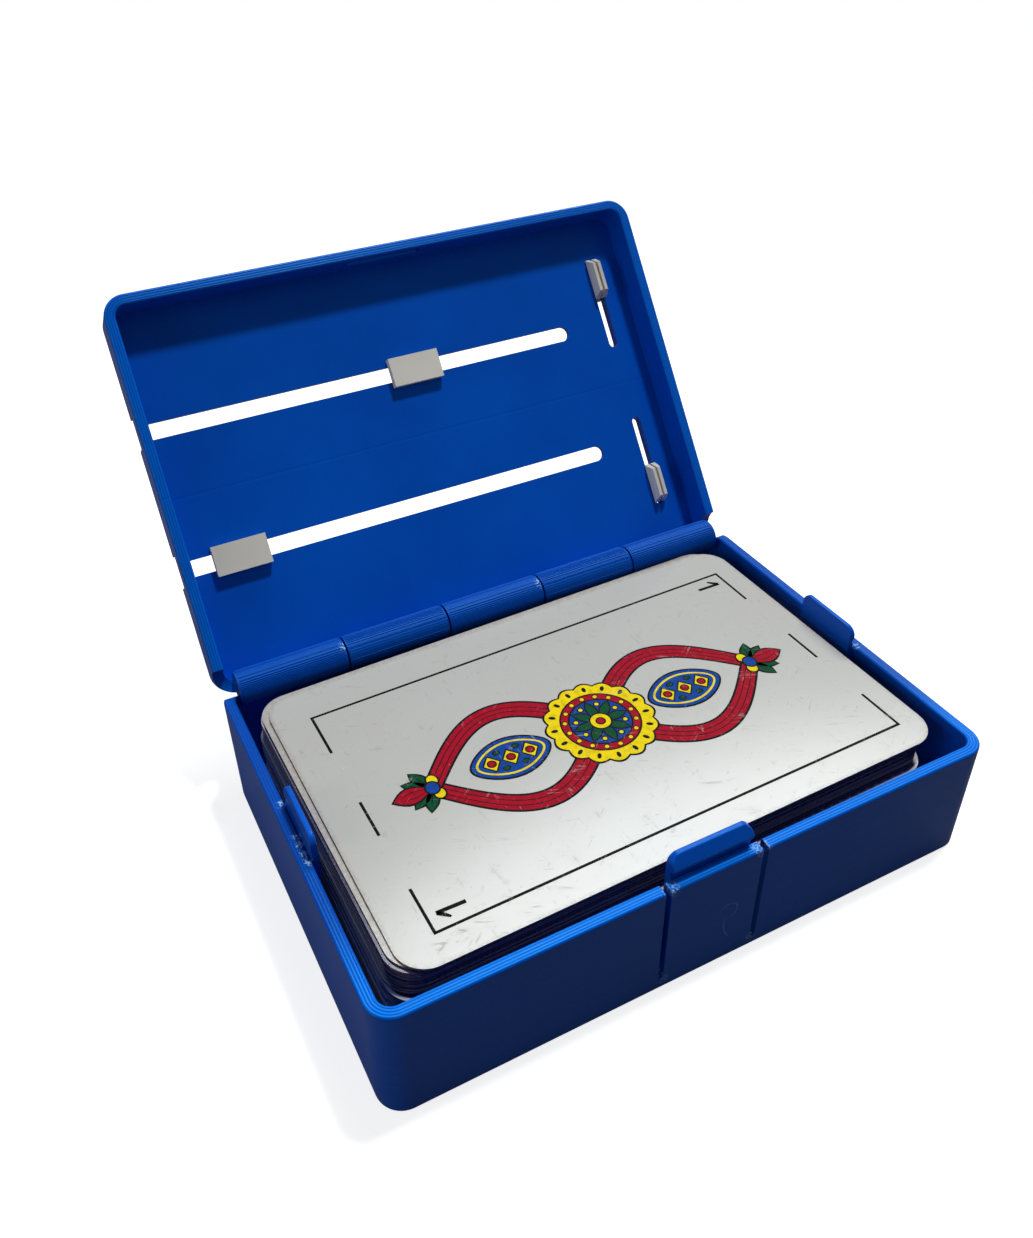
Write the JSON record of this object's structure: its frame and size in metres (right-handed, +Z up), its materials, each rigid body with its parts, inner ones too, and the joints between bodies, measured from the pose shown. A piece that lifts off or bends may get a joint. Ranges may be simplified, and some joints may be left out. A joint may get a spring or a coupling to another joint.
{
  "type": "playing card box",
  "caption": "Shallow card box with a snap-latched hinged lid, score slides and game markers in the lid, holding a loose deck.",
  "frame": {"origin": "centre of the tray's underside", "axes": "+X along the long side, towards the markers' end; +Y towards the hinge, so the latch faces -Y; +Z up"},
  "size_m": [0.1064, 0.1192, 0.08],
  "materials": {
    "tray_plastic": "layered print, matte",
    "lid_plastic": "layered print, matte",
    "slide_plastic": "layered print, matte",
    "marker_plastic": "layered print, matte",
    "pin_plastic": "drawn filament",
    "card_stock": "coated paper, satin"
  },
  "bodies": {
    "tray": {"base_tray": "tray_plastic", "hinge_pin": "pin_plastic"},
    "latch": {"front_latch": "tray_plastic"},
    "lid": {"lid_shell": "lid_plastic"},
    "upper_slide": {"upper_slide": "slide_plastic"},
    "lower_slide": {"lower_slide": "slide_plastic"},
    "upper_marker": {"upper_marker": "marker_plastic"},
    "lower_marker": {"lower_marker": "marker_plastic"},
    "deck": {"card_01": "card_stock", "card_02": "card_stock", "card_03": "card_stock", "card_04": "card_stock", "card_05": "card_stock", "card_06": "card_stock", "card_07": "card_stock", "card_08": "card_stock", "card_09": "card_stock", "card_10": "card_stock", "card_11": "card_stock", "card_12": "card_stock", "card_13": "card_stock", "card_14": "card_stock", "card_packet_1": "card_stock", "card_packet_2": "card_stock", "card_packet_3": "card_stock", "card_packet_4": "card_stock", "card_packet_5": "card_stock", "card_packet_6": "card_stock"}
  },
  "joints": [
    {"name": "lid_hinge", "type": "hinge", "parent": "tray", "child": "lid", "pos_m": [0, 0.0352, 0.0222], "axis": [-1, 0, 0], "range_deg": [-125.7, 0]},
    {"name": "latch_flex", "type": "hinge", "parent": "tray", "child": "latch", "pos_m": [0, -0.0342, 0.002], "axis": [-1, 0, 0], "range_deg": [0, 2.5], "stiffness_Nm_per_rad": 3},
    {"name": "upper_slide_travel", "type": "slide", "parent": "lid", "child": "upper_slide", "axis": [1, 0, 0], "range_m": [-0.0467, 0.0304]},
    {"name": "lower_slide_travel", "type": "slide", "parent": "lid", "child": "lower_slide", "axis": [1, 0, 0], "range_m": [-0.0043, 0.0728]},
    {"name": "upper_marker_travel", "type": "slide", "parent": "lid", "child": "upper_marker", "axis": [0, -0.5835, -0.8121], "range_m": [0, 0.0103]},
    {"name": "lower_marker_travel", "type": "slide", "parent": "lid", "child": "lower_marker", "axis": [0, 0.5835, 0.8121], "range_m": [-0.0002, 0.01]},
    {"name": "deck_lift", "type": "slide", "parent": "tray", "child": "deck", "axis": [0, 0, 1], "range_m": [0, 0.045]}
  ]
}
